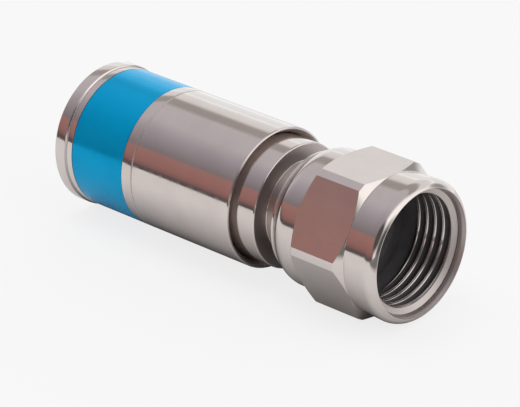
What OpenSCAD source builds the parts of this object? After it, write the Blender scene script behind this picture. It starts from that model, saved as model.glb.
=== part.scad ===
// Male F connector of the compression kind, for coaxial cable of 7 mm over its jacket.
// A hexagon nut turns freely on the post's flange. A sleeve slides forward over the body and
// drives a grip ring into the body's flared mouth, which closes it on the cable's jacket.
// The axis is X, with the threaded mouth at +X. The origin is the centre of the post's front
// face, which is the plane where the mating port ends. Lengths are measured from that plane.

/* [Coupling nut] */
// Wall between the thread's relief and the flats of the hexagon
nut_wall = 0.65; // [0.6:0.01:0.9]
// How far the corners of the hexagon are turned down
corner_turn = 0.18; // [0.1:0.01:0.3]
// Nut's front edge, ahead of the post's face
nut_front = 5.32; // [4.8:0.02:6]
// Nut's rear edge, behind the post's face
nut_rear = 5.3; // [5.1:0.05:5.8]
// Round collar ahead of the hexagon
collar_len = 2.82; // [2.4:0.02:3.2]
// Height of the collar over the hexagon's flats, where it meets them
collar_step = 0.03; // [0.02:0.01:0.08]
// Further height of the collar at its front edge
collar_flare = 0.07; // [0:0.01:0.2]
// Rounding of the collar's front edge, a bull nose that ends at the mouth
collar_round = 0.94; // [0.7:0.02:1.1]
// Angle from the axis at which the bull nose ends
nose_end = 22; // [15:1:35]
// Round tail behind the hexagon
tail_len = 2.75; // [2.4:0.05:3.4]
// Wall at the rear edge, where the tail's curve has closed in
rim_wall = 0.575; // [0.5:0.005:0.7]
// Straight part of the tail ahead of that curve
tail_straight = 1.1; // [0.6:0.05:1.3]
// Length of the corner's slope at the front of the hexagon
front_slope = 0.42; // [0.2:0.02:0.6]
// Length of the corner's slope at the rear of the hexagon
rear_slope = 0.5; // [0.2:0.02:0.7]
// Fine rim at the tail's rear edge
rim_len = 0.36; // [0.2:0.01:0.45]

/* [Nut thread] */
// Outside diameter of the port's thread
thread_d = 9.525; // [9.4:0.025:9.6]
// Height of the nut's thread
thread_height = 0.3625; // [0.33:0.0025:0.46]
// Radial room round the port's thread at the mouth and behind the thread
thread_relief = 0.0875; // [0.02:0.0025:0.2]
// Plain depth of the mouth ahead of the thread
mouth_depth = 0.65; // [0.4:0.05:0.9]
// Length of the slope from the plain mouth into the thread
lead_in = 0.22; // [0.15:0.01:0.45]
// End of the thread, ahead of the post's face
thread_end = 1.2; // [0.8:0.1:1.6]

/* [Post] */
// Bore for the cable's dielectric
post_bore_d = 4.9; // [4.6:0.1:5.1]
// Radial width of the bore's flared mouth
post_flare = 0.6; // [0.2:0.05:0.8]
// Depth of that flared mouth
post_flare_depth = 0.42; // [0.2:0.02:0.8]
// Wall of the tube that goes under the cable's braid
tube_wall = 0.35; // [0.25:0.01:0.4]
// Height of the barb on the tube's end
barb_height = 0.25; // [0.1:0.01:0.3]
// Length of the barb's slope
barb_len = 1.3; // [0.8:0.1:2]
// Flange that holds the nut
flange_d = 8.4; // [8:0.05:8.5]
// Thickness of the flange
flange_t = 1.2; // [0.9:0.05:1.5]
// Bearing that the nut turns on
bearing_d = 6.6; // [6.5:0.02:6.7]
// Rear end of the bearing, behind the front face
bearing_end = 3.45; // [3.2:0.05:3.7]
// Shoulder between the bearing and the shank pressed into the body
shank_step = 0.2; // [0.1:0.01:0.25]
// How far the tube ends ahead of the body's rear end
post_inset = 0.3; // [0.1:0.05:1.5]

/* [Body] */
// Body's front shoulder, behind the post's face
body_front = 6.9; // [6.7:0.05:7.6]
// Length of the body behind that shoulder
body_len = 12.6; // [11.5:0.1:13.5]
// Wall of the body round the cable's space
body_wall = 1; // [0.9:0.02:1.1]
// Step from the post's bearing up to the front seal's seat
seat_step = 0.15; // [0.1:0.01:0.2]
// Step from the seal's seat up to the neck
neck_step = 0.17; // [0.12:0.01:0.3]
// Rear end of the seal's seat, behind the post's face
seal_seat_end = 4.9; // [4.7:0.05:5.1]
// Wall between the neck and the cable's space
web_t = 1.7; // [1.2:0.1:2.4]
// Radial rise of the flared rear mouth
flare_rise = 0.65; // [0.5:0.01:0.7]
// Length of the flare
flare_len = 2.5; // [2.3:0.1:3]
// Rear seal's groove, behind the body's shoulder
groove_at = 7.1; // [5:0.1:8.5]

/* [Cable] */
// Cable's diameter over its jacket
cable_d = 7; // [6.8:0.05:7.1]
// Radial room round the jacket in the grip ring and the sleeve's lip
cable_gap = 0.3; // [0.15:0.01:0.35]
// Radial room round the jacket inside the body, where the braid folds back
braid_gap = 0.5; // [0.45:0.01:0.6]

/* [Sleeve] */
// Wall of the sleeve
sleeve_wall = 0.57; // [0.5:0.01:0.7]
// Sleeve's forward travel when it is pressed
press_travel = 2; // [1.4:0.1:2.2]
// What stays of the body ahead of the sleeve once it is pressed
pressed_gap = 0.1; // [0.05:0.05:0.5]
// Thickness that the inside slope leaves at the front edge
mouth_edge = 0.2; // [0.15:0.01:0.3]
// Depth of the slope inside the front edge
mouth_slope = 0.6; // [0.3:0.05:1]
// Rear lip that holds the grip ring
lip_t = 0.85; // [0.6:0.01:1]
// Height of the raised rim at the rear end
rear_rim = 0.12; // [0.04:0.01:0.16]
// Width of that rim
rear_rim_w = 1.07; // [0.8:0.01:1.1]
// Width of the fine turned grooves
fine_groove_w = 0.14; // [0.08:0.02:0.2]
// Depth of the fine turned grooves
fine_groove_t = 0.07; // [0.04:0.01:0.1]

/* [Colour ring] */
// Ring's rear edge, from the sleeve's rear end
ring_at = 1.84; // [1.8:0.02:2.2]
// Width of the ring
ring_w = 5.41; // [4:0.01:6]
// Thickness of the ring
ring_t = 0.2; // [0.1:0.01:0.25]
// From the ring's rear edge to the fine groove behind it
rear_groove_gap = 0.65; // [0.4:0.01:0.65]
// From the ring's front edge to the fine groove ahead of it
front_groove_gap = 1.09; // [0.6:0.01:1.6]

/* [Grip ring] */
// From the body's rear end to the sleeve's lip
grip_len = 7.2; // [6.8:0.05:8]
// Depth that its nose reaches into the body at rest
nose_reach = 0.2; // [0.1:0.05:0.25]
// Axial room between its step and the body when the sleeve is pressed home
pressed_room = 0.1; // [0.05:0.05:0.3]

/* [Seals] */
// Thickness of the front seal's cord
front_seal_t = 0.8; // [0.7:0.01:0.82]
// Thickness of the rear seal's cord
rear_seal_t = 0.66; // [0.5:0.01:0.7]
// Width of the rear seal's groove for each unit of its cord's thickness
groove_fill = 1.3; // [1.1:0.05:1.5]

/* [Clearances] */
// Radial clearance of the nut on its bearing
nut_gap = 0.05; // [0.02:0.01:0.08]
// Axial clearance of the nut behind the flange
nut_float = 0.05; // [0.03:0.01:0.12]
// Axial clearance of the nut ahead of the neck
neck_gap = 0.15; // [0.1:0.01:0.2]
// Radial clearance of the sleeve on the body
slide_gap = 0.05; // [0.02:0.01:0.08]
// Radial clearance of each seal
seal_gap = 0.02; // [0.01:0.01:0.04]
// Clearance between pieces that are pressed or held together
seat_gap = 0.01; // [0.01:0.005:0.02]

/* [Hidden] */
$fn = 96;
arc_steps = 6;
overlap = 0.02;
edge_break = 0.12;

// Radii, from the cable and the thread outwards
bore_r = post_bore_d / 2;
tube_r = bore_r + tube_wall;
bearing_r = bearing_d / 2;
shank_r = bearing_r - shank_step;
seal_seat_r = bearing_r + seat_step;
neck_r = seal_seat_r + neck_step;
cable_hole_r = cable_d / 2 + cable_gap;
cavity_r = cable_d / 2 + braid_gap;
flare_r = cavity_r + flare_rise;
body_r = cavity_r + body_wall;
slide_r = body_r + slide_gap;
sleeve_r = slide_r + sleeve_wall;
rim_r = sleeve_r + rear_rim;
ring_floor_r = sleeve_r - ring_t - seat_gap;
groove_r = slide_r - seal_gap - rear_seal_t - seat_gap;
seal_bore_r = seal_seat_r + seat_gap + front_seal_t + seal_gap;
relief_r = thread_d / 2 + thread_relief;
minor_r = thread_d / 2 - thread_height;
hex_r = relief_r + nut_wall;
corner_r = hex_r / cos(30) - corner_turn;
tail_r = hex_r - 0.05;
collar_root_r = hex_r + collar_step;
collar_r = collar_root_r + collar_flare;

// Stations along the axis, positive towards the mouth
collar_start = nut_front - collar_len;
lead_in_front = nut_front - mouth_depth;
tail_start = tail_len - nut_rear;
lip_front = -flange_t - nut_float;
lip_rear = neck_gap - bearing_end;
cavity_front = -body_front - web_t;
body_rear = -body_front - body_len;
post_rear = body_rear + post_inset;
seal_middle = -body_front - groove_at - groove_fill * rear_seal_t / 2;
sleeve_front = -body_front - pressed_gap - press_travel;
lip_face = body_rear - grip_len;
sleeve_rear = lip_face - lip_t;
ring_rear = sleeve_rear + ring_at;
ring_front = ring_rear + ring_w;
nose_tip = body_rear + nose_reach;
grip_step = body_rear - press_travel - pressed_room;

// Points of a round stretch, as [x, radius], from angle a0 to a1 about the centre c
function arc(c, r, a0, a1) = [for (i = [0:arc_steps])
    let (a = a0 + (a1 - a0) * i / arc_steps) [c[0] + r * cos(a), c[1] + r * sin(a)]];

// Solid turned about the X axis from an outline of [x, radius] points
module turned(outline) {
    rotate([0, 90, 0]) rotate_extrude() polygon([for (p = outline) [p[1], p[0]]]);
}

// Ring of round cord about the X axis, for a seal whose inner radius is seat
module o_ring(at, seat, cord) {
    rotate([0, 90, 0]) rotate_extrude()
        translate([seat + cord / 2, at]) circle(d = cord, $fn = 32);
}

// Fine V groove cut round a cylinder of radius r
module fine_groove(at, r) {
    turned([[at - fine_groove_w / 2, r + overlap], [at, r - fine_groove_t],
            [at + fine_groove_w / 2, r + overlap]]);
}

// Outside of the nut: flared collar, curved tail with its rim, and the hexagon between them
module nut_outside() {
    curve_start = tail_start - tail_straight;
    rim_start = rim_len - nut_rear;
    curve_len = curve_start - rim_start;
    tail_end_r = seal_bore_r + rim_wall;
    curve_drop = tail_r - tail_end_r;
    tail_curve = (curve_len ^ 2 + curve_drop ^ 2) / (2 * curve_drop);
    tail_angle = asin(curve_len / tail_curve);
    turned(concat([[-nut_rear, 0], [-nut_rear, tail_end_r - edge_break],
                   [edge_break - nut_rear, tail_end_r], [rim_start - fine_groove_w, tail_end_r],
                   [rim_start - fine_groove_w / 2, tail_end_r - fine_groove_t]],
                  arc([curve_start, tail_r - tail_curve], tail_curve, 90 + tail_angle, 90),
                  [[collar_start, tail_r], [collar_start, collar_root_r]],
                  arc([nut_front - collar_round * cos(nose_end), collar_r - collar_round],
                      collar_round, 90, nose_end),
                  [[nut_front, 0]]));
    intersection() {
        translate([tail_start, 0, 0]) rotate([0, 90, 0]) rotate([0, 0, 30])
            cylinder(r = hex_r / cos(30), h = collar_start - tail_start, $fn = 6);
        turned([[tail_start, 0], [tail_start, tail_r], [tail_start + rear_slope, corner_r],
                [collar_start - front_slope, corner_r], [collar_start, hex_r],
                [collar_start, 0]]);
    }
}

// Nut: plain mouth, thread bore with its lead-in, relief, lip behind the flange and space for the seal
module coupling_nut() {
    lip_r = bearing_r + nut_gap;
    color("silver") difference() {
        nut_outside();
        turned([[nut_front + overlap, 0], [nut_front + overlap, relief_r + edge_break + overlap],
                [nut_front - edge_break, relief_r], [lead_in_front, relief_r],
                [lead_in_front - lead_in, minor_r], [thread_end, minor_r],
                [thread_end - relief_r + minor_r, relief_r], [lip_front, relief_r],
                [lip_front, lip_r], [lip_rear, lip_r], [lip_rear, seal_bore_r],
                [edge_break - nut_rear, seal_bore_r],
                [-nut_rear - overlap, seal_bore_r + edge_break + overlap],
                [-nut_rear - overlap, 0]]);
    }
}

// Post: flange, bearing for the nut, pressed shank and the barbed tube under the braid
module post() {
    color("gainsboro") turned([
        [0, bore_r + post_flare], [0, flange_d / 2 - edge_break], [-edge_break, flange_d / 2],
        [-flange_t, flange_d / 2], [-flange_t, bearing_r], [-bearing_end, bearing_r],
        [-bearing_end, shank_r], [cavity_front, shank_r], [cavity_front, tube_r],
        [post_rear + barb_len, tube_r], [post_rear + barb_len, tube_r + barb_height],
        [post_rear, bore_r + edge_break], [post_rear, bore_r], [-post_flare_depth, bore_r]]);
}

// Body: neck on the post's shank, seat of the front seal, sliding surface and flared mouth
module connector_body() {
    neck_front = -bearing_end - seat_gap;
    fit_r = shank_r + seat_gap;
    groove_half = groove_fill * rear_seal_t / 2;
    color("silver") turned([
        [neck_front, fit_r], [neck_front, seal_seat_r - edge_break],
        [neck_front - edge_break, seal_seat_r], [-seal_seat_end, seal_seat_r],
        [-seal_seat_end, neck_r], [-body_front, neck_r], [-body_front, body_r - edge_break],
        [-body_front - edge_break, body_r], [seal_middle + groove_half, body_r],
        [seal_middle + groove_half, groove_r], [seal_middle - groove_half, groove_r],
        [seal_middle - groove_half, body_r], [body_rear + edge_break, body_r],
        [body_rear, body_r - edge_break], [body_rear, flare_r],
        [body_rear + flare_len, cavity_r], [cavity_front, cavity_r], [cavity_front, fit_r]]);
}

// Front seal, on the body's seat and inside the nut
module nut_seal() {
    color("dimgray") o_ring((lip_rear - seal_seat_end) / 2, seal_seat_r + seat_gap, front_seal_t);
}

// Rear seal, in the body's groove and inside the sleeve
module body_seal() {
    color("dimgray") o_ring(seal_middle, groove_r + seat_gap, rear_seal_t);
}

// Sleeve: sloped front edge, slide bore, rear lip, raised rim, fine grooves and ring recess
module compression_sleeve() {
    color("silver") difference() {
        turned([
            [sleeve_rear, cable_hole_r + edge_break], [sleeve_rear, rim_r - edge_break],
            [sleeve_rear + edge_break, rim_r], [sleeve_rear + rear_rim_w, rim_r],
            [sleeve_rear + rear_rim_w, sleeve_r], [ring_rear - seat_gap, sleeve_r],
            [ring_rear - seat_gap, ring_floor_r], [ring_front + seat_gap, ring_floor_r],
            [ring_front + seat_gap, sleeve_r], [sleeve_front - edge_break, sleeve_r],
            [sleeve_front, sleeve_r - edge_break], [sleeve_front, sleeve_r - mouth_edge],
            [sleeve_front - mouth_slope, slide_r], [lip_face, slide_r],
            [lip_face, cable_hole_r], [sleeve_rear + edge_break, cable_hole_r]]);
        fine_groove(ring_rear - rear_groove_gap, sleeve_r);
        fine_groove(ring_front + front_groove_gap, sleeve_r);
    }
}

// Colour ring, flush in the sleeve's recess
module colour_ring() {
    color("deepskyblue") turned([
        [ring_rear, ring_floor_r + seat_gap], [ring_rear, sleeve_r],
        [ring_front, sleeve_r], [ring_front, ring_floor_r + seat_gap]]);
}

// Grip ring: held by the sleeve's lip, with a nose whose slope is the slope of the body's flare
module grip_ring() {
    step_nose_r = flare_r - slide_gap;
    tip_nose_r = step_nose_r - flare_rise * (nose_tip - grip_step) / flare_len;
    color("white") turned([
        [lip_face + seat_gap, cable_hole_r], [lip_face + seat_gap, body_r], [grip_step, body_r],
        [grip_step, step_nose_r], [nose_tip, tip_nose_r], [nose_tip, cable_hole_r]]);
}

coupling_nut();
post();
connector_body();
nut_seal();
body_seal();
compression_sleeve();
colour_ring();
grip_ring();
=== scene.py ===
"""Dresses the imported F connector: turned and plated metal, a blue band, a grip ring and seals.

Lengths in the classes are millimetres, as on a workshop drawing. Outlines are lists of
corners, each at a station along the connector's axis, which is X, and at a radius.
"""

from __future__ import annotations

import logging
import math
from dataclasses import dataclass, field
from enum import Enum
from typing import Iterable

import bmesh
import bpy
from mathutils import Matrix, Vector

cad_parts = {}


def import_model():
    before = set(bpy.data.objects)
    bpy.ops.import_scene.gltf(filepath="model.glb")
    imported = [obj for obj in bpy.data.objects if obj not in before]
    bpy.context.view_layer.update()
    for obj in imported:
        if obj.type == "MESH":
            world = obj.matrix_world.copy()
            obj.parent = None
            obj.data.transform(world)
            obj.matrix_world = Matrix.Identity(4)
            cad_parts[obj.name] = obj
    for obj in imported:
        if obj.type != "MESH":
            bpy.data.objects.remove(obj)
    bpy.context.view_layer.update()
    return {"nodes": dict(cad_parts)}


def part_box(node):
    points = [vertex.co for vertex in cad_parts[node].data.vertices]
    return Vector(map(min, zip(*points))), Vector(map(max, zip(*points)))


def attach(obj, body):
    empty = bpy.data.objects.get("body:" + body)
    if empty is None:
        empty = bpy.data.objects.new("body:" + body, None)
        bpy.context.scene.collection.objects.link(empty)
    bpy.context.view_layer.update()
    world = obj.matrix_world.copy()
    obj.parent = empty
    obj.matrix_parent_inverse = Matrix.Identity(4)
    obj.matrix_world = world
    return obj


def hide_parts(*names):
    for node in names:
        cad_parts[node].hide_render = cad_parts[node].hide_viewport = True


LOG = logging.getLogger("f_connector")
MM = 0.001
AXIS = Vector((1.0, 0.0, 0.0))

# Vertices closer than this become one, in metres.
WELD = 1e-7
# A vertex this near to a cutting plane lies on it, in metres.
CUT_SLACK = 1e-8
# The profile with which a bevel is a plain round.
ROUND_PROFILE = 0.5
# How strongly large faces lead the shading of the corners.
EVEN_WEIGHT = 90
# Faces whose outward share lies below this look at the axis.
BORE_FACING = -0.3
# How far a ring that picks faces reaches past them, or stays short of the next ones.
COAT_MARGIN = 0.01
# Sockets of the colour mix node.
MIX_FIRST = 6
MIX_SECOND = 7
MIX_RESULT = 2

WHITE = (1.0, 1.0, 1.0, 1.0)

Triple = tuple[float, float, float]
Colour = Triple


class Station(Enum):
    """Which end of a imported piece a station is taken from."""

    REAR = 0
    FRONT = 1


def station(node: str, end: Station) -> float:
    """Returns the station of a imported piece's rear or front end, in millimetres."""
    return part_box(node)[end.value].x / MM


def radius(node: str) -> float:
    """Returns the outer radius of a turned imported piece, in millimetres."""
    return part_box(node)[Station.FRONT.value].z / MM


# ---------------------------------------------------------------------------------------
# Finishes
# ---------------------------------------------------------------------------------------


@dataclass(frozen=True)
class Grain:
    """A noise pattern: its repeats per millimetre on each axis, its octaves, their weight."""

    per_mm: Triple
    detail: float
    roughness: float = 0.5


class Nodes:
    """A node tree, with short calls to add and wire its nodes."""

    def __init__(self, tree: bpy.types.NodeTree) -> None:
        """Takes a node tree and empties it."""
        self.tree = tree
        self.tree.nodes.clear()

    def add(self, kind: str, **settings: object) -> bpy.types.Node:
        """Adds a node and sets its properties.

        Args:
            kind: The node's type name.
            **settings: Properties of the node, by name.

        Returns:
            The new node.
        """
        node = self.tree.nodes.new(kind)
        for key, value in settings.items():
            setattr(node, key, value)
        return node

    def link(self, source: bpy.types.Node, out: str | int, target: bpy.types.Node,
             into: str | int) -> None:
        """Wires one node's output socket to another node's input socket."""
        self.tree.links.new(source.outputs[out], target.inputs[into])

    def span(self, source: bpy.types.Node, out: str | int, low: float,
             high: float) -> bpy.types.Node:
        """Adds a range that runs from 0 to 1 between two values.

        Args:
            source: The node that drives the range.
            out: That node's output socket.
            low: Value that gives 0.
            high: Value that gives 1.

        Returns:
            The range node.
        """
        span = self.add("ShaderNodeMapRange")
        span.inputs["From Min"].default_value = low
        span.inputs["From Max"].default_value = high
        self.link(source, out, span, "Value")
        return span

    def mix(self, share: bpy.types.Node, first: bpy.types.Node,
            second: bpy.types.Node) -> bpy.types.Node:
        """Mixes two shaders.

        Args:
            share: The node whose first output gives the second shader's share.
            first: The first shader.
            second: The second shader.

        Returns:
            The mix node.
        """
        mix = self.add("ShaderNodeMixShader")
        for socket, source in enumerate((share, first, second)):
            self.link(source, 0, mix, socket)
        return mix


class NodeSheet(Nodes):
    """A material's nodes, with calls for what the finishes share."""

    def __init__(self, name: str) -> None:
        """Makes a material with a shader and an output.

        Args:
            name: The material's name.
        """
        self.material = bpy.data.materials.new(name)
        self.material.use_nodes = True
        super().__init__(self.material.node_tree)
        self.output = self.add("ShaderNodeOutputMaterial")
        self.shader = self.add("ShaderNodeBsdfPrincipled")
        self.link(self.shader, "BSDF", self.output, "Surface")

    def put(self, values: dict[str, object]) -> None:
        """Sets inputs of the shader, by name."""
        for key, value in values.items():
            self.shader.inputs[key].default_value = value

    def noise(self, grain: Grain) -> bpy.types.Node:
        """Adds a noise texture on Object coordinates.

        Args:
            grain: The pattern.

        Returns:
            The noise node.
        """
        coordinates = self.add("ShaderNodeTexCoord")
        mapping = self.add("ShaderNodeMapping")
        mapping.inputs["Scale"].default_value = [value / MM for value in grain.per_mm]
        self.link(coordinates, "Object", mapping, "Vector")
        texture = self.add("ShaderNodeTexNoise")
        texture.inputs["Scale"].default_value = 1.0
        texture.inputs["Detail"].default_value = grain.detail
        texture.inputs["Roughness"].default_value = grain.roughness
        self.link(mapping, "Vector", texture, "Vector")
        return texture

    def ramp(self, source: bpy.types.Node, out: str, low: Colour, high: Colour,
             start: float = 0.35, end: float = 0.65) -> bpy.types.Node:
        """Adds a ramp between two colours or greys.

        Args:
            source: The node that drives the ramp.
            out: That node's output socket.
            low: Colour at the ramp's start.
            high: Colour at the ramp's end.
            start: Where the ramp begins.
            end: Where the ramp ends.

        Returns:
            The ramp node.
        """
        ramp = self.add("ShaderNodeValToRGB")
        ramp.color_ramp.elements[0].position = start
        ramp.color_ramp.elements[1].position = end
        ramp.color_ramp.elements[0].color = (*low, 1.0)
        ramp.color_ramp.elements[1].color = (*high, 1.0)
        self.link(source, out, ramp, "Fac")
        return ramp

    def mottle(self, grain: Grain, into: str, low: Colour, high: Colour) -> None:
        """Varies one of the shader's inputs between two colours or greys.

        Args:
            grain: The pattern.
            into: The shader's input.
            low: Colour where the pattern is low.
            high: Colour where the pattern is high.
        """
        ramp = self.ramp(self.noise(grain), "Fac", low, high)
        self.link(ramp, "Color", self.shader, into)

    def relief(self, grain: Grain, height: float) -> None:
        """Gives the surface a fine relief.

        Args:
            grain: The pattern.
            height: The relief's height in millimetres.
        """
        bump = self.add("ShaderNodeBump")
        bump.inputs["Strength"].default_value = 1.0
        bump.inputs["Distance"].default_value = height * MM
        self.link(self.noise(grain), "Fac", bump, "Height")
        self.link(bump, "Normal", self.shader, "Normal")


@dataclass(frozen=True)
class NickelPlate:
    """Bright nickel over turned brass: faint tool marks and slightly uneven gloss."""

    name: str = "nickel_plate"
    tint: Colour = (0.675, 0.615, 0.585)
    deep_tint: Colour = (0.645, 0.585, 0.555)
    cloud: Grain = Grain((0.45, 0.45, 0.45), 4.0, 0.6)
    gloss_low: float = 0.06
    gloss_high: float = 0.13
    haze: Grain = Grain((1.6, 1.6, 1.6), 5.0, 0.65)
    marks: Grain = Grain((9.0, 0.25, 0.25), 3.0, 0.7)
    mark_height: float = 0.00035

    def make(self) -> bpy.types.Material:
        """Makes the plated metal's material.

        Returns:
            The material.
        """
        sheet = NodeSheet(self.name)
        sheet.put({"Metallic": 1.0})
        sheet.mottle(self.cloud, "Base Color", self.deep_tint, self.tint)
        sheet.mottle(self.haze, "Roughness", (self.gloss_low,) * 3, (self.gloss_high,) * 3)
        sheet.relief(self.marks, self.mark_height)
        return sheet.material


@dataclass(frozen=True)
class SatinPlate:
    """The same plate where a blunt tool faced the metal: duller, finely ringed."""

    name: str = "satin_plate"
    tint: Colour = (0.600, 0.540, 0.520)
    gloss: float = 0.46
    marks: Grain = Grain((7.0, 0.4, 0.4), 3.0, 0.7)
    mark_height: float = 0.0012

    def make(self) -> bpy.types.Material:
        """Makes the satin plate's material.

        Returns:
            The material.
        """
        sheet = NodeSheet(self.name)
        sheet.put({"Metallic": 1.0, "Base Color": (*self.tint, 1.0), "Roughness": self.gloss})
        sheet.relief(self.marks, self.mark_height)
        return sheet.material


@dataclass(frozen=True)
class PaintedShadeMetal:
    """Metal darkened as painted shade, in the bores and fine cuts, with faint tool marks."""

    name: str
    tint: Colour
    deep_tint: Colour
    cloud: Grain = Grain((0.9, 0.9, 0.9), 4.0, 0.6)
    gloss: float = 0.5
    shine: float = 0.25
    marks: Grain = Grain((7.0, 0.4, 0.4), 3.0, 0.7)
    mark_height: float = 0.0012

    def make(self) -> bpy.types.Material:
        """Makes the dark metal's material.

        Returns:
            The material.
        """
        sheet = NodeSheet(self.name)
        sheet.put({"Roughness": self.gloss, "Specular IOR Level": self.shine})
        sheet.mottle(self.cloud, "Base Color", self.deep_tint, self.tint)
        sheet.relief(self.marks, self.mark_height)
        return sheet.material


# Painted shade: grey for the bores, near black for the thread and the other fine cuts.
BORE_SHADE_METAL = PaintedShadeMetal("bore_painted_shade", (0.270, 0.262, 0.275), (0.220, 0.212, 0.222))
CUT_SHADE_METAL = PaintedShadeMetal("cut_painted_shade", (0.108, 0.098, 0.102), (0.082, 0.074, 0.078))


@dataclass(frozen=True)
class BandPlastic:
    """Glossy coloured plastic of the size band."""

    name: str = "band_plastic"
    tint: Colour = (0.0, 0.450, 0.830)
    deep_tint: Colour = (0.0, 0.420, 0.780)
    cloud: Grain = Grain((0.5, 0.5, 0.5), 3.0)
    gloss: float = 0.20
    shine: float = 0.08
    pearl: float = 0.35
    ripple: Grain = Grain((0.8, 0.8, 0.8), 2.0)
    ripple_height: float = 0.004

    def make(self) -> bpy.types.Material:
        """Makes the band's material.

        Returns:
            The material.
        """
        sheet = NodeSheet(self.name)
        sheet.put({"Roughness": self.gloss, "Specular IOR Level": self.shine,
                   "Metallic": self.pearl})
        sheet.mottle(self.cloud, "Base Color", self.deep_tint, self.tint)
        sheet.relief(self.ripple, self.ripple_height)
        return sheet.material


@dataclass(frozen=True)
class GripPlastic:
    """White acetal of the grip ring."""

    name: str = "grip_plastic"
    tint: Colour = (0.80, 0.80, 0.77)
    deep_tint: Colour = (0.74, 0.74, 0.71)
    cloud: Grain = Grain((1.2, 1.2, 1.2), 3.0)
    gloss: float = 0.42
    milk: float = 0.08
    milk_depth: float = 0.6
    skin: Grain = Grain((14.0, 14.0, 14.0), 2.0)
    skin_height: float = 0.002

    def make(self) -> bpy.types.Material:
        """Makes the grip ring's material.

        Returns:
            The material.
        """
        sheet = NodeSheet(self.name)
        sheet.put({"Roughness": self.gloss, "Subsurface Weight": self.milk,
                   "Subsurface Scale": self.milk_depth * MM})
        sheet.mottle(self.cloud, "Base Color", self.deep_tint, self.tint)
        sheet.relief(self.skin, self.skin_height)
        return sheet.material


@dataclass(frozen=True)
class SealRubber:
    """Black nitrile of the O-rings, a little dusty."""

    name: str = "seal_rubber"
    tint: Colour = (0.032, 0.031, 0.031)
    dust_tint: Colour = (0.060, 0.057, 0.055)
    dust: Grain = Grain((2.0, 2.0, 2.0), 4.0)
    gloss: float = 0.55
    skin: Grain = Grain((20.0, 20.0, 20.0), 2.0)
    skin_height: float = 0.003

    def make(self) -> bpy.types.Material:
        """Makes the seals' material.

        Returns:
            The material.
        """
        sheet = NodeSheet(self.name)
        sheet.put({"Roughness": self.gloss})
        sheet.mottle(self.dust, "Base Color", self.tint, self.dust_tint)
        sheet.relief(self.skin, self.skin_height)
        return sheet.material


class Coat(Enum):
    """The metal's finishes and its painted shade, by their material number on a turned piece."""

    PLATE = 0
    SATIN = 1
    BORE_SHADE = 2
    CUT_SHADE = 3


@dataclass(frozen=True)
class Metals:
    """The finishes of a turned metal piece, with its painted shade for the bores and fine cuts.
    """

    plate: bpy.types.Material
    satin: bpy.types.Material
    bore: bpy.types.Material
    cut: bpy.types.Material

    def in_order(self) -> tuple[bpy.types.Material, ...]:
        """Returns the finishes in the order of their material numbers."""
        return self.plate, self.satin, self.bore, self.cut


# ---------------------------------------------------------------------------------------
# Turning
# ---------------------------------------------------------------------------------------


class Break(Enum):
    """How far a corner's edge is broken, in millimetres."""

    SHARP = 0.0
    TRACE = 0.015
    HAIR = 0.02
    FINE = 0.03
    CLEAN = 0.04
    EASED = 0.05
    DRESSED = 0.06
    WORN = 0.07
    SOFT = 0.08
    BLUNT = 0.1
    ROUNDED = 0.12
    FULL = 0.14
    BROAD = 0.15


@dataclass(frozen=True)
class Edge:
    """One corner of a turned outline: its station, its radius and how its edge is broken."""

    x: float
    r: float
    broken: Break = Break.SHARP


@dataclass
class Lathe:
    """Turns closed outlines about the X axis."""

    steps: int = 224
    round_segments: int = 5
    crease_angle: float = 21.0

    def turn(self, outline: Iterable[Edge]) -> bmesh.types.BMesh:
        """Turns a closed outline into a ring-shaped solid.

        Args:
            outline: The corners in order round the section, none of them on the axis.

        Returns:
            A bmesh with a closed surface whose faces point outwards.
        """
        bm = bmesh.new()
        corners = list(outline)
        section = bm.faces.new([bm.verts.new((c.x * MM, 0.0, c.r * MM)) for c in corners])
        self._break_corners(bm, section, corners)
        bmesh.ops.delete(bm, geom=bm.faces[:], context="FACES_ONLY")
        bmesh.ops.spin(bm, geom=bm.verts[:] + bm.edges[:], cent=(0, 0, 0), axis=AXIS,
                       angle=2 * math.pi, steps=self.steps, use_merge=True)
        bmesh.ops.remove_doubles(bm, verts=bm.verts[:], dist=WELD)
        bmesh.ops.recalc_face_normals(bm, faces=bm.faces[:])
        self.crease(bm.edges)
        return bm

    def crease(self, edges: Iterable[bmesh.types.BMEdge]) -> None:
        """Marks as sharp the edges at which the surface turns a real corner.

        Args:
            edges: The edges to look at.
        """
        for edge in edges:
            if edge.calc_face_angle(0.0) > math.radians(self.crease_angle):
                edge.smooth = False

    def _break_corners(self, bm: bmesh.types.BMesh, section: bmesh.types.BMFace,
                       corners: list[Edge]) -> None:
        """Rounds the section's corners, those of one size at a time.

        Args:
            bm: The mesh that holds the section.
            section: The section's face.
            corners: The outline's corners, in the order of the face's vertices.
        """
        by_size: dict[Break, list[bmesh.types.BMVert]] = {}
        for vert, corner in zip(list(section.verts), corners):
            if corner.broken is not Break.SHARP:
                by_size.setdefault(corner.broken, []).append(vert)
        for size, verts in by_size.items():
            bmesh.ops.bevel(bm, geom=verts, offset=size.value * MM, affect="VERTICES",
                            segments=self.round_segments, profile=ROUND_PROFILE, material=-1)


@dataclass(frozen=True)
class Ring:
    """A ring-shaped stretch of space round the axis, in millimetres."""

    rear: float
    front: float
    inner: float = 0.0
    outer: float = math.inf

    def holds(self, point: Vector) -> bool:
        """Tells whether a point lies in the ring.

        Args:
            point: The point, in metres.

        Returns:
            True inside the ring.
        """
        x = point.x / MM
        r = point.yz.length / MM
        return self.rear < x < self.front and self.inner < r < self.outer


def coat(bm: bmesh.types.BMesh, kind: Coat, *rings: Ring) -> None:
    """Gives the faces inside some rings another of the metal's finishes, or its painted shade.

    Args:
        bm: The piece's mesh.
        kind: The finish.
        *rings: The stretches of space that take it.
    """
    for face in bm.faces:
        middle = face.calc_center_median()
        if any(ring.holds(middle) for ring in rings):
            face.material_index = kind.value


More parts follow.
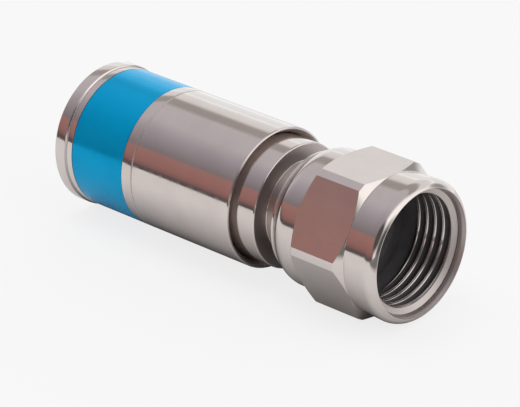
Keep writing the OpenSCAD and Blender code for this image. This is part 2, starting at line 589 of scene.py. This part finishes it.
def paint_bore_shade(bm: bmesh.types.BMesh) -> None:
    """Gives the faces that look at the axis the bores' painted shade.

    Args:
        bm: The piece's mesh.
    """
    for face in bm.faces:
        middle = face.calc_center_median()
        out = Vector((0.0, middle.y, middle.z)).normalized()
        if face.normal.dot(out) < BORE_FACING:
            face.material_index = Coat.BORE_SHADE.value


def finish_piece(name: str, bm: bmesh.types.BMesh, body: str,
                 materials: Iterable[bpy.types.Material], replaces: str) -> None:
    """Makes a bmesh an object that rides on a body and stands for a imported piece.

    Args:
        name: The piece's name.
        bm: Its mesh, in metres and in place; it is freed here.
        body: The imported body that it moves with.
        materials: Its finishes, in the order of the faces' material numbers.
        replaces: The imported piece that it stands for.
    """
    mesh = bpy.data.meshes.new(name)
    for face in bm.faces:
        face.smooth = True
    bm.to_mesh(mesh)
    bm.free()
    for material in materials:
        mesh.materials.append(material)
    piece = bpy.data.objects.new(name, mesh)
    bpy.context.scene.collection.objects.link(piece)
    even = piece.modifiers.new("even_shading", "WEIGHTED_NORMAL")
    even.mode = "FACE_AREA"
    even.weight = EVEN_WEIGHT
    even.keep_sharp = True
    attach(piece, body)
    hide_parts(replaces)
    LOG.info("%s: %d faces on %s", name, len(mesh.polygons), body)


# ---------------------------------------------------------------------------------------
# Pieces
# ---------------------------------------------------------------------------------------


@dataclass
class CouplingNut:
    """The nut: bull-nosed collar, hexagon with turned-down corners, curved tail, thread."""

    lathe: Lathe
    metals: Metals
    across_flats: float = 11.0
    corner_radius: float = 6.169
    collar_length: float = 2.82
    collar_flare: float = 0.1
    nose_radius: float = 0.94
    nose_end: float = 26.0
    nose_points: int = 10
    front_slope: float = 0.42
    rear_slope: float = 0.5
    tail_length: float = 2.75
    tail_straight: float = 1.1
    tail_points: int = 11
    tail_step: float = 0.05
    collar_step: float = 0.01
    rim_length: float = 0.36
    rim_radius: float = 4.855
    line_width: float = 0.14
    line_depth: float = 0.07
    mouth_radius: float = 4.85
    mouth_depth: float = 0.65
    mouth_flare: float = 0.2
    bell: float = 0.28
    bell_rise: float = 0.05
    mouth_edge: float = 0.07
    lead_in: float = 0.22
    land: float = 0.1
    major_radius: float = 4.7625
    minor_radius: float = 4.4
    thread_end: float = 1.2
    pitch: float = 25.4 / 32
    first_crest: float = 1.39
    root_share: float = 0.875
    crest_share: float = 0.24
    crest_round: float = 0.1
    crest_segments: int = 4
    relief_cover: float = 0.02
    lip_front: float = -1.25
    lip_rear: float = -3.3
    lip_radius: float = 3.35
    seal_radius: float = 4.28
    steps_per_turn: int = 112
    sunk: float = 0.04
    crest_plate_depth: float = 0.1
    mill_reach: float = 0.001
    mill_floor: float = 0.06
    wall_margin: float = 0.05
    front_margin: float = 0.02
    edge_margin: float = 0.06
    cut_start: float = 0.5
    front: float = field(init=False)
    rear: float = field(init=False)

    def __post_init__(self) -> None:
        """Takes the nut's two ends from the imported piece."""
        self.front = station("coupling_nut", Station.FRONT)
        self.rear = station("coupling_nut", Station.REAR)

    @property
    def flat(self) -> float:
        """Distance from the axis to a flat of the hexagon."""
        return self.across_flats / 2

    @property
    def lead_in_front(self) -> float:
        """Station at which the plain mouth ends."""
        return self.front - self.mouth_depth

    def _tail(self) -> list[Edge]:
        """Draws the tail's curve.

        Returns:
            Its corners, from the rim forward to the straight part.
        """
        start = self.rear + self.rim_length
        end = self.rear + self.tail_length - self.tail_straight
        top = self.flat - self.tail_step
        drop = top - self.rim_radius
        bend = ((end - start) ** 2 + drop ** 2) / (2 * drop)
        sweep = math.asin((end - start) / bend)
        corners = []
        for step in range(self.tail_points):
            angle = sweep * (1 - step / (self.tail_points - 1))
            corners.append(Edge(end - bend * math.sin(angle), top - bend * (1 - math.cos(angle))))
        return corners

    def _nose(self) -> list[Edge]:
        """Draws the collar's bull nose.

        Returns:
            Its corners, from the collar's straight part to the mouth's edge.
        """
        stop = math.radians(self.nose_end)
        x = self.front - self.nose_radius * math.cos(stop)
        r = self.flat + self.collar_flare - self.nose_radius
        corners = []
        for step in range(self.nose_points):
            angle = math.pi / 2 + (stop - math.pi / 2) * step / (self.nose_points - 1)
            corners.append(Edge(x + self.nose_radius * math.cos(angle),
                                r + self.nose_radius * math.sin(angle)))
        return corners

    def _outline(self) -> list[Edge]:
        """Draws the section of the whole nut as turned, before its flats are cut.

        Returns:
            The section's corners.
        """
        hex_rear = self.rear + self.tail_length
        hex_front = self.front - self.collar_length
        line = self.rear + self.rim_length - self.line_width
        relief_rise = self.mouth_radius - self.minor_radius
        root_rise = self.major_radius - self.minor_radius
        land_front = self.lead_in_front - self.lead_in
        land_rear = land_front - self.land
        return [
            Edge(self.rear, self.seal_radius, Break.SOFT),
            Edge(self.rear, self.rim_radius, Break.WORN),
            Edge(line, self.rim_radius, Break.TRACE),
            Edge(line + self.line_width / 2, self.rim_radius - self.line_depth),
            *self._tail(),
            Edge(hex_rear, self.flat - self.tail_step),
            Edge(hex_rear + self.rear_slope, self.corner_radius, Break.DRESSED),
            Edge(hex_front - self.front_slope, self.corner_radius, Break.DRESSED),
            Edge(hex_front, self.flat - self.collar_step, Break.FINE),
            *self._nose(),
            Edge(self.front, self.mouth_radius + self.mouth_flare, Break.FINE),
            Edge(self.front - self.bell, self.mouth_radius + self.bell_rise, Break.SOFT),
            Edge(self.lead_in_front + self.mouth_edge, self.mouth_radius, Break.FINE),
            Edge(self.lead_in_front, self.mouth_radius),
            Edge(land_front, self.minor_radius, Break.EASED),
            Edge(land_rear, self.minor_radius, Break.CLEAN),
            Edge(land_rear - root_rise / 2, self.major_radius),
            Edge(self.thread_end - root_rise, self.major_radius),
            Edge(self.thread_end - relief_rise, self.mouth_radius, Break.EASED),
            Edge(self.lip_front, self.mouth_radius),
            Edge(self.lip_front, self.lip_radius, Break.DRESSED),
            Edge(self.lip_rear, self.lip_radius, Break.DRESSED),
            Edge(self.lip_rear, self.seal_radius),
        ]

    def _cut_flats(self, bm: bmesh.types.BMesh) -> None:
        """Mills the six flats on the hexagon's stretch of the turned blank.

        Args:
            bm: The turned blank.
        """
        rear = (self.rear + self.tail_length - self.mill_reach) * MM
        front = (self.front - self.collar_length + self.mill_reach) * MM
        low = (self.flat - self.mill_floor) * MM
        for side in range(6):
            turn = math.radians(60 * side)
            out = Vector((0.0, math.sin(turn), math.cos(turn)))
            blank = [face for face in bm.faces
                     if rear < face.calc_center_median().x < front
                     and face.calc_center_median().yz.length > low]
            edges = {edge for face in blank for edge in face.edges}
            verts = {vert for face in blank for vert in face.verts}
            cut = bmesh.ops.bisect_plane(
                bm, geom=[*blank, *edges, *verts], dist=CUT_SLACK,
                plane_co=out * self.flat * MM, plane_no=out, clear_outer=True)
            rim = [item for item in cut["geom_cut"] if isinstance(item, bmesh.types.BMEdge)]
            filled = bmesh.ops.contextual_create(bm, geom=rim)
            self.lathe.crease([edge for face in filled["faces"] for edge in face.edges])

    def _thread(self) -> bmesh.types.BMesh:
        """Winds the thread's ridge, a helix whose ends run out in the two slopes.

        Returns:
            A closed bmesh of the ridge, its root sunk into the wall of the bore.
        """
        root = self.pitch * self.root_share
        crest = self.pitch * self.crest_share
        turns = math.ceil((self.front - self.first_crest) / self.pitch)
        base = self.major_radius + self.sunk
        top = self.minor_radius
        section = [(-root / 2 - self.sunk, base), (-root / 2, self.major_radius),
                   (-crest / 2, top), (crest / 2, top),
                   (root / 2, self.major_radius), (root / 2 + self.sunk, base)]
        bm = bmesh.new()
        start = self.first_crest - self.pitch
        ring = [bm.verts.new(((start + x) * MM, 0.0, r * MM)) for x, r in section]
        bm.faces.new(ring)
        bmesh.ops.bevel(bm, geom=[ring[2], ring[3]], offset=self.crest_round * MM,
                        affect="VERTICES", segments=self.crest_segments,
                        profile=ROUND_PROFILE, material=-1)
        step = self.pitch * MM / self.steps_per_turn
        bmesh.ops.spin(bm, geom=bm.faces[:], cent=(0, 0, 0), axis=AXIS, dvec=AXIS * step,
                       angle=2 * math.pi * turns, steps=self.steps_per_turn * turns)
        for vert in bm.verts:
            self._run_out(vert)
        bmesh.ops.holes_fill(bm, edges=bm.edges[:], sides=0)
        bmesh.ops.recalc_face_normals(bm, faces=bm.faces[:])
        return bm

    def _run_out(self, vert: bmesh.types.BMVert) -> None:
        """Ends the ridge inside the land, and on the slope of the relief.

        Args:
            vert: A vertex of the ridge, which is moved.
        """
        reach = vert.co.yz.length
        relief = self.minor_radius * MM + (self.thread_end * MM - vert.co.x)
        least = min(max(relief, reach), (self.major_radius + self.sunk) * MM)
        if least > reach:
            vert.co.y *= least / reach
            vert.co.z *= least / reach
        first = (self.thread_end - (self.major_radius - self.minor_radius)
                 + self.relief_cover)
        last = self.lead_in_front - self.lead_in - self.land / 2
        vert.co.x = min(max(vert.co.x, first * MM), last * MM)

    def _coat_wall(self, bm: bmesh.types.BMesh) -> None:
        """Gives the bore its finishes: a dull mouth, near-black painted shade on the thread and
        the lead-in's edge, grey painted shade on the space behind it.

        Args:
            bm: The nut's mesh, without its ridge.
        """
        thread_front = self.lead_in_front - self.lead_in - self.land
        mouth_top = self.mouth_radius + self.wall_margin
        line_rear = self.rear + self.rim_length - self.line_width
        # Painted shade on every face that looks at the axis.
        paint_bore_shade(bm)
        coat(bm, Coat.SATIN,
             Ring(thread_front - COAT_MARGIN, self.front - self.front_margin, 0.0,
                  self.mouth_radius + self.mouth_flare),
             Ring(line_rear, line_rear + self.line_width,
                  self.rim_radius - self.line_depth - COAT_MARGIN,
                  self.rim_radius - COAT_MARGIN))
        # Near-black painted shade on the thread's stretch and on the lead-in's edge.
        coat(bm, Coat.CUT_SHADE,
             Ring(self.thread_end - self.cut_start, thread_front - COAT_MARGIN, 0.0, mouth_top),
             Ring(self.lead_in_front - self.front_margin, self.lead_in_front + self.edge_margin,
                  0.0, mouth_top))

    def build(self) -> None:
        """Makes the nut with its thread."""
        bm = self.lathe.turn(self._outline())
        self._cut_flats(bm)
        self._coat_wall(bm)
        ridge = self._thread()
        # Near-black painted shade on the ridge's flanks; its crests keep the bright plate.
        coat(ridge, Coat.CUT_SHADE, Ring(-math.inf, math.inf, self.minor_radius + self.crest_plate_depth))
        scrap = bpy.data.meshes.new("thread_ridge")
        ridge.to_mesh(scrap)
        ridge.free()
        bm.from_mesh(scrap)
        bpy.data.meshes.remove(scrap)
        finish_piece("nut", bm, "nut", self.metals.in_order(), "coupling_nut")


@dataclass
class Post:
    """The hollow post: flared mouth, flange, bearing, shank and barbed tube."""

    lathe: Lathe
    metals: Metals
    bore: float = 2.45
    flare: float = 0.6
    flare_depth: float = 0.42
    flange_thickness: float = 1.2
    bearing: float = 3.3
    bearing_end: float = -3.45
    shank: float = 3.1
    shank_end: float = -8.6
    tube: float = 2.8
    barb: float = 3.05
    barb_length: float = 1.3
    tube_chamfer: float = 0.12
    flange_margin: float = 0.1

    def build(self) -> None:
        """Makes the post."""
        rear = station("post", Station.REAR)
        front = station("post", Station.FRONT)
        flange = radius("post")
        bm = self.lathe.turn([
            Edge(front, self.bore + self.flare, Break.EASED),
            Edge(front, flange, Break.ROUNDED),
            Edge(front - self.flange_thickness, flange, Break.EASED),
            Edge(front - self.flange_thickness, self.bearing),
            Edge(self.bearing_end, self.bearing, Break.CLEAN),
            Edge(self.bearing_end, self.shank),
            Edge(self.shank_end, self.shank, Break.EASED),
            Edge(self.shank_end, self.tube),
            Edge(rear + self.barb_length, self.tube),
            Edge(rear + self.barb_length, self.barb, Break.FINE),
            Edge(rear, self.bore + self.tube_chamfer, Break.FINE),
            Edge(rear, self.bore, Break.FINE),
            Edge(front - self.flare_depth, self.bore, Break.BROAD),
        ])
        # Painted shade on the bore, and near-black painted shade on the flange and mouth inside
        # the nut.
        paint_bore_shade(bm)
        coat(bm, Coat.CUT_SHADE, Ring(-self.flange_thickness - self.flange_margin, math.inf))
        finish_piece("hollow_post", bm, "body", self.metals.in_order(), "post")


@dataclass
class ConnectorBody:
    """The turned body: neck, seal seat, sliding surface with its groove, flared mouth."""

    lathe: Lathe
    metals: Metals
    fit: float = 3.11
    seat: float = 3.45
    seat_end: float = -4.9
    neck: float = 3.62
    shoulder: float = -6.9
    groove_middle: float = -14.429
    groove_width: float = 0.858
    groove: float = 4.36
    cavity: float = 4.0
    cavity_front: float = -8.6
    flare: float = 4.65
    flare_length: float = 2.5
    face_depth: float = 0.12
    face_inset: float = 0.02
    face_edge: float = 0.11

    def build(self) -> None:
        """Makes the body."""
        front = station("connector_body", Station.FRONT)
        rear = station("connector_body", Station.REAR)
        outer = radius("connector_body")
        half = self.groove_width / 2
        bm = self.lathe.turn([
            Edge(front, self.fit, Break.FINE),
            Edge(front, self.seat, Break.BLUNT),
            Edge(self.seat_end, self.seat),
            Edge(self.seat_end, self.neck, Break.DRESSED),
            Edge(self.shoulder, self.neck, Break.SOFT),
            Edge(self.shoulder, outer, Break.FULL),
            Edge(self.groove_middle + half, outer, Break.CLEAN),
            Edge(self.groove_middle + half, self.groove),
            Edge(self.groove_middle - half, self.groove),
            Edge(self.groove_middle - half, outer, Break.CLEAN),
            Edge(rear, outer, Break.ROUNDED),
            Edge(rear, self.flare, Break.CLEAN),
            Edge(rear + self.flare_length, self.cavity),
            Edge(self.cavity_front, self.cavity),
            Edge(self.cavity_front, self.fit),
        ])
        # Painted shade on the faces that look at the axis.
        paint_bore_shade(bm)
        coat(bm, Coat.SATIN,
             Ring(self.shoulder - self.face_depth, self.shoulder + COAT_MARGIN,
                  self.neck + self.face_inset, outer - self.face_edge))
        finish_piece("turned_body", bm, "body", self.metals.in_order(),
                     "connector_body")


@dataclass
class Sleeve:
    """The compression sleeve with its rim, fine lines, band recess and rear lip."""

    lathe: Lathe
    metals: Metals
    outer: float = 5.62
    slide: float = 5.05
    mouth_edge: float = 0.2
    mouth_slope: float = 0.6
    hole: float = 3.8
    lip: float = 0.85
    rim_width: float = 1.07
    line_width: float = 0.14
    line_depth: float = 0.07
    rear_line_gap: float = 0.65
    front_line_gap: float = 1.09
    recess_depth: float = 0.21
    recess_gap: float = 0.05
    line_margin: float = 0.008

    def _line(self, middle: float) -> list[Edge]:
        """Draws one fine turned line.

        Args:
            middle: The station of its deepest point.

        Returns:
            Its corners, from its rear edge forward.
        """
        half = self.line_width / 2
        return [Edge(middle - half, self.outer, Break.HAIR),
                Edge(middle, self.outer - self.line_depth),
                Edge(middle + half, self.outer, Break.HAIR)]

    def build(self) -> None:
        """Makes the sleeve."""
        rear = station("compression_sleeve", Station.REAR)
        front = station("compression_sleeve", Station.FRONT)
        rim = radius("compression_sleeve")
        band_rear = station("colour_ring", Station.REAR)
        band_front = station("colour_ring", Station.FRONT)
        floor = self.outer - self.recess_depth
        bm = self.lathe.turn([
            Edge(rear, self.hole, Break.ROUNDED),
            Edge(rear, rim, Break.FULL),
            Edge(rear + self.rim_width, rim, Break.CLEAN),
            *self._line(band_rear - self.rear_line_gap),
            Edge(band_rear - self.recess_gap, self.outer, Break.HAIR),
            Edge(band_rear - self.recess_gap, floor),
            Edge(band_front + self.recess_gap, floor),
            Edge(band_front + self.recess_gap, self.outer, Break.HAIR),
            *self._line(band_front + self.front_line_gap),
            Edge(front, self.outer, Break.FULL),
            Edge(front, self.outer - self.mouth_edge, Break.CLEAN),
            Edge(front - self.mouth_slope, self.slide),
            Edge(rear + self.lip, self.slide),
            Edge(rear + self.lip, self.hole, Break.DRESSED),
        ])
        # Painted shade on the faces that look at the axis.
        paint_bore_shade(bm)
        coat(bm, Coat.SATIN,
             Ring(front - self.mouth_slope, front - COAT_MARGIN, self.slide,
                  self.outer - self.mouth_edge),
             Ring(rear + self.rim_width + COAT_MARGIN, front - self.mouth_slope,
                  self.outer - self.line_depth - COAT_MARGIN, self.outer - self.line_margin))
        finish_piece("sleeve_shell", bm, "sleeve", self.metals.in_order(),
                     "compression_sleeve")


@dataclass
class SizeBand:
    """The thin coloured band in the sleeve's recess."""

    lathe: Lathe
    finish: bpy.types.Material
    inner: float = 5.42

    def build(self) -> None:
        """Makes the band."""
        rear = station("colour_ring", Station.REAR)
        front = station("colour_ring", Station.FRONT)
        outer = radius("colour_ring")
        bm = self.lathe.turn([
            Edge(rear, self.inner),
            Edge(rear, outer, Break.CLEAN),
            Edge(front, outer, Break.CLEAN),
            Edge(front, self.inner),
        ])
        finish_piece("size_band", bm, "sleeve", (self.finish,), "colour_ring")


@dataclass
class GripRing:
    """The white ring whose nose closes on the cable's jacket."""

    lathe: Lathe
    finish: bpy.types.Material
    hole: float = 3.8
    step: float = -21.6
    step_nose: float = 4.6
    tip_nose: float = 4.002

    def build(self) -> None:
        """Makes the grip ring."""
        rear = station("grip_ring", Station.REAR)
        tip = station("grip_ring", Station.FRONT)
        outer = radius("grip_ring")
        bm = self.lathe.turn([
            Edge(rear, self.hole, Break.BROAD),
            Edge(rear, outer, Break.BLUNT),
            Edge(self.step, outer, Break.BLUNT),
            Edge(self.step, self.step_nose),
            Edge(tip, self.tip_nose, Break.CLEAN),
            Edge(tip, self.hole, Break.CLEAN),
        ])
        finish_piece("grip", bm, "sleeve", (self.finish,), "grip_ring")


@dataclass
class Seals:
    """The two O-rings, kept as packed and given their rubber."""

    nodes: dict[str, bpy.types.Object]
    finish: bpy.types.Material

    def dress(self) -> None:
        """Gives each seal its rubber."""
        for name in ("nut_seal", "body_seal"):
            seal = self.nodes[name]
            seal.data.materials.clear()
            seal.data.materials.append(self.finish)
            LOG.info("%s: packed solid, black rubber", name)


# ---------------------------------------------------------------------------------------
# Studio
# ---------------------------------------------------------------------------------------


@dataclass(frozen=True)
class Panel:
    """One edge of a studio panel: its angle round the axis from above, and its light."""

    angle: float
    light: Colour


PANELS = (
    Panel(-180.0, (1.00, 1.00, 1.00)),
    Panel(-104.0, (1.36, 1.36, 1.36)),
    Panel(-88.0, (1.03, 1.08, 1.10)),
    Panel(-71.0, (1.01, 1.06, 1.07)),
    Panel(-66.0, (1.22, 1.26, 1.27)),
    Panel(-61.0, (0.97, 0.98, 0.99)),
    Panel(-46.0, (0.94, 0.93, 0.93)),
    Panel(-40.0, (0.46, 0.44, 0.425)),
    Panel(-27.0, (0.45, 0.43, 0.42)),
    Panel(-21.0, (0.67, 0.65, 0.68)),
    Panel(10.0, (0.65, 0.62, 0.66)),
    Panel(30.0, (0.48, 0.45, 0.50)),
    Panel(59.0, (0.28, 0.25, 0.27)),
    Panel(62.5, (0.45, 0.245, 0.222)),
    Panel(80.0, (0.41, 0.205, 0.19)),
    Panel(87.0, (0.30, 0.17, 0.165)),
    Panel(91.0, (0.13, 0.105, 0.105)),
    Panel(98.0, (0.13, 0.105, 0.105)),
    Panel(102.0, (0.90, 0.90, 0.90)),
)


@dataclass(frozen=True)
class SoftShade:
    """Something dark in the studio: its direction, its half-angles in degrees, its light."""

    toward: Triple
    core: float
    edge: float
    light: float


@dataclass(frozen=True)
class Surroundings:
    """The world: white to the camera, panels of light and shade for the metal."""

    front_light: float = 1.42
    front_from: float = 0.52
    front_full: float = 0.74
    shades: tuple[SoftShade, ...] = (
        SoftShade((0.62, -0.66, 0.42), 15.0, 25.0, 0.10),
        SoftShade((0.98, -0.20, 0.0), 12.0, 30.0, 0.12),
        SoftShade((0.34, 0.92, 0.20), 6.0, 15.0, 0.42),
    )

    def make(self) -> bpy.types.World:
        """Makes the world.

        Returns:
            The world, not yet given to the scene.
        """
        world = bpy.data.worlds.new("studio")
        world.use_nodes = True
        nodes = Nodes(world.node_tree)
        where = nodes.add("ShaderNodeTexCoord")
        split = nodes.add("ShaderNodeSeparateXYZ")
        nodes.link(where, "Generated", split, "Vector")
        ahead = nodes.span(split, "X", self.front_from, self.front_full)
        light = self._blend(nodes, ahead, self._panels(nodes, split), "Color", self.front_light)
        for shade in self.shades:
            light = self._blend(nodes, self._near(nodes, where, shade), light, MIX_RESULT,
                                shade.light)
        mirrored = nodes.add("ShaderNodeBackground")
        nodes.link(light, MIX_RESULT, mirrored, "Color")
        plain = nodes.add("ShaderNodeBackground")
        plain.inputs["Color"].default_value = WHITE
        rays = nodes.add("ShaderNodeLightPath")
        white = nodes.add("ShaderNodeMath", operation="MAXIMUM")
        nodes.link(rays, "Is Camera Ray", white, 0)
        nodes.link(rays, "Is Transmission Ray", white, 1)
        output = nodes.add("ShaderNodeOutputWorld")
        nodes.link(nodes.mix(white, mirrored, plain), 0, output, "Surface")
        return world

    @staticmethod
    def _panels(nodes: Nodes, split: bpy.types.Node) -> bpy.types.Node:
        """Lays the panels round the axis, by their angle from straight up towards -Y.

        Args:
            nodes: The world's nodes.
            split: The node that gives the direction's parts.

        Returns:
            The node that gives the panels' colour.
        """
        aside = nodes.add("ShaderNodeMath", operation="MULTIPLY")
        aside.inputs[1].default_value = -1.0
        nodes.link(split, "Y", aside, 0)
        around = nodes.add("ShaderNodeMath", operation="ARCTAN2")
        nodes.link(aside, 0, around, 0)
        nodes.link(split, "Z", around, 1)
        panels = nodes.add("ShaderNodeValToRGB")
        nodes.link(nodes.span(around, 0, -math.pi, math.pi), "Result", panels, "Fac")
        stops = panels.color_ramp.elements
        while len(stops) < len(PANELS):
            stops.new(0.5)
        for stop, panel in zip(stops, PANELS):
            stop.position = (panel.angle + 180.0) / 360.0
            stop.color = (*panel.light, 1.0)
        return panels

    @staticmethod
    def _near(nodes: Nodes, where: bpy.types.Node, shade: SoftShade) -> bpy.types.Node:
        """Measures how near a ray goes to a soft shade.

        Args:
            nodes: The world's nodes.
            where: The node that gives the direction.
            shade: The shade.

        Returns:
            The node that gives 1 in the shade's core and 0 outside its edge.
        """
        toward = nodes.add("ShaderNodeVectorMath", operation="DOT_PRODUCT")
        toward.inputs[1].default_value = Vector(shade.toward).normalized()
        nodes.link(where, "Generated", toward, 0)
        return nodes.span(toward, "Value", math.cos(math.radians(shade.edge)),
                          math.cos(math.radians(shade.core)))

    @staticmethod
    def _blend(nodes: Nodes, share: bpy.types.Node, source: bpy.types.Node, out: str | int,
               grey: float) -> bpy.types.Node:
        """Blends a colour towards a grey light.

        Args:
            nodes: The world's nodes.
            share: The range node that gives the grey's share.
            source: The node that gives the colour.
            out: That node's output socket.
            grey: The grey light's strength.

        Returns:
            The mix node.
        """
        mix = nodes.add("ShaderNodeMix", data_type="RGBA")
        nodes.link(share, "Result", mix, "Factor")
        nodes.link(source, out, mix, MIX_FIRST)
        mix.inputs[MIX_SECOND].default_value = (*(grey,) * 3, 1.0)
        return mix


@dataclass(frozen=True)
class Paper:
    """The floor's paper: near white to the camera; in mirrored rays it glows with a painted
    contact shadow and painted shade ahead.
    """

    tint: Colour = (0.86, 0.86, 0.86)
    gloss: float = 0.9
    glow: float = 0.8
    mirror_glow: float = 0.8
    mirror_light: float = 0.95
    mirror_dark: float = 0.12
    fades: float = 18.0
    ends: float = 25.0
    contact_samples: int = 16
    contact_reach: float = 18.0
    contact_shadow_tint: Colour = (0.04, 0.036, 0.036)
    contact_start: float = 0.17
    contact_end: float = 0.95

    def make(self) -> bpy.types.Material:
        """Makes the paper's material.

        Returns:
            The material.
        """
        sheet = NodeSheet("studio_paper")
        sheet.put({"Base Color": (*self.tint, 1.0), "Roughness": self.gloss})
        rays = sheet.add("ShaderNodeLightPath")
        either = sheet.add("ShaderNodeMath", operation="MAXIMUM")
        for socket, kind in enumerate(("Is Camera Ray", "Is Transmission Ray")):
            sheet.link(self._share(sheet, rays, kind, self.glow), 0, either, socket)
        paper = sheet.mix(either, sheet.shader, sheet.add("ShaderNodeEmission"))
        mirrored = self._share(sheet, rays, "Is Glossy Ray", self.mirror_glow)
        whole = sheet.mix(mirrored, paper, self._in_mirrors(sheet))
        sheet.link(whole, 0, sheet.output, "Surface")
        return sheet.material

    def _in_mirrors(self, sheet: NodeSheet) -> bpy.types.Node:
        """Adds the paper's light in mirrored rays, with a painted shadow near a contact and
        painted shade far ahead.

        Args:
            sheet: The material's nodes.

        Returns:
            The light's node.
        """
        # Painted shadow: ambient occlusion darkens the glow near the connector.
        contact = sheet.add("ShaderNodeAmbientOcclusion", samples=self.contact_samples)
        contact.inputs["Distance"].default_value = self.contact_reach * MM
        shade = sheet.ramp(contact, "Color", self.contact_shadow_tint, WHITE[:3], self.contact_start,
                           self.contact_end)
        # Painted shade: the glow dims from 18 mm to 25 mm ahead of the nut.
        coordinates = sheet.add("ShaderNodeTexCoord")
        place = sheet.add("ShaderNodeSeparateXYZ")
        sheet.link(coordinates, "Object", place, "Vector")
        ahead = sheet.span(place, "X", self.fades * MM, self.ends * MM)
        ahead.inputs["To Min"].default_value = self.mirror_light
        ahead.inputs["To Max"].default_value = self.mirror_dark
        glow = sheet.add("ShaderNodeEmission")
        sheet.link(shade, "Color", glow, "Color")
        sheet.link(ahead, "Result", glow, "Strength")
        return glow

    @staticmethod
    def _share(sheet: NodeSheet, rays: bpy.types.Node, kind: str,
               amount: float) -> bpy.types.Node:
        """Gives a share to one kind of ray and nothing to the others.

        Args:
            sheet: The material's nodes.
            rays: The Light Path node.
            kind: Its output for that kind of ray.
            amount: The share given to such rays.

        Returns:
            The node that carries the share.
        """
        share = sheet.add("ShaderNodeMath", operation="MULTIPLY")
        share.inputs[1].default_value = amount
        sheet.link(rays, kind, share, 0)
        return share


@dataclass(frozen=True)
class Studio:
    """The pale floor, the surroundings that the metal mirrors, the lamp and the camera."""

    paper: Paper = Paper()
    surroundings: Surroundings = Surroundings()
    floor_drop: float = 5.78
    floor_half_width: float = 78.0
    azimuth: float = 43.13
    elevation: float = 24.89
    lens: float = 217.5
    clip_start: float = 10.0
    clip_end: float = 10000.0
    aim_station: float = 4.9
    aim_distance: float = 229.69
    aim_right: float = 11.52
    aim_down: float = 3.571
    key_power: float = 0.42
    key_size: float = 260.0
    key_place: Triple = (-70.0, -80.0, 440.0)

    @property
    def view_direction(self) -> Vector:
        """Works out where the camera stands.

        Returns:
            The direction from the connector to the camera.
        """
        turn = math.radians(self.azimuth)
        rise = math.radians(self.elevation)
        return Vector((math.sin(turn) * math.cos(rise), -math.cos(turn) * math.cos(rise),
                       math.sin(rise)))

    def floor(self) -> None:
        """Makes the floor, near white to the camera with the object's shadow kept."""
        bm = bmesh.new()
        bmesh.ops.create_grid(bm, x_segments=1, y_segments=1, size=self.floor_half_width * MM,
                              matrix=Matrix.Translation((0, 0, -self.floor_drop * MM)))
        mesh = bpy.data.meshes.new("studio_floor")
        bm.to_mesh(mesh)
        bm.free()
        plane = bpy.data.objects.new("studio_floor", mesh)
        bpy.context.scene.collection.objects.link(plane)
        mesh.materials.append(self.paper.make())

    def key_light(self) -> None:
        """Hangs one large soft lamp above and behind the connector."""
        lamp = bpy.data.lights.new("key", "AREA")
        lamp.shape = "SQUARE"
        lamp.size = self.key_size * MM
        lamp.energy = self.key_power
        holder = bpy.data.objects.new("key", lamp)
        bpy.context.scene.collection.objects.link(holder)
        holder.location = Vector(self.key_place) * MM
        holder.rotation_euler = (-holder.location).to_track_quat("-Z", "Y").to_euler()
        holder.visible_glossy = False

    def camera(self) -> None:
        """Stands the camera so that the nut's front lies where it should in the frame."""
        back = self.view_direction
        turn = math.radians(self.azimuth)
        right = Vector((math.cos(turn), math.sin(turn), 0.0))
        down = right.cross(back)
        lens = bpy.data.cameras.new("view")
        lens.lens = self.lens
        lens.clip_start = self.clip_start * MM
        lens.clip_end = self.clip_end * MM
        holder = bpy.data.objects.new("view", lens)
        bpy.context.scene.collection.objects.link(holder)
        place = (AXIS * self.aim_station - right * self.aim_right - down * self.aim_down
                 + back * self.aim_distance)
        holder.location = place * MM
        holder.rotation_mode = "QUATERNION"
        holder.rotation_quaternion = (-back).to_track_quat("-Z", "Y")
        bpy.context.scene.camera = holder

    def build(self) -> None:
        """Sets up the whole studio."""
        self.camera()
        self.floor()
        bpy.context.scene.world = self.surroundings.make()
        self.key_light()
        bpy.context.scene.view_settings.view_transform = "Standard"


# ---------------------------------------------------------------------------------------


def main() -> None:
    """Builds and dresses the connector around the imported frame."""
    logging.basicConfig(level=logging.INFO, format="%(name)s: %(message)s")
    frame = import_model()
    Studio().build()
    lathe = Lathe()
    metals = Metals(NickelPlate().make(), SatinPlate().make(), BORE_SHADE_METAL.make(),
                    CUT_SHADE_METAL.make())
    CouplingNut(lathe, metals).build()
    Post(lathe, metals).build()
    ConnectorBody(lathe, metals).build()
    Sleeve(lathe, metals).build()
    SizeBand(lathe, BandPlastic().make()).build()
    GripRing(lathe, GripPlastic().make()).build()
    Seals(frame["nodes"], SealRubber().make()).dress()


if __name__ == "__main__":
    main()
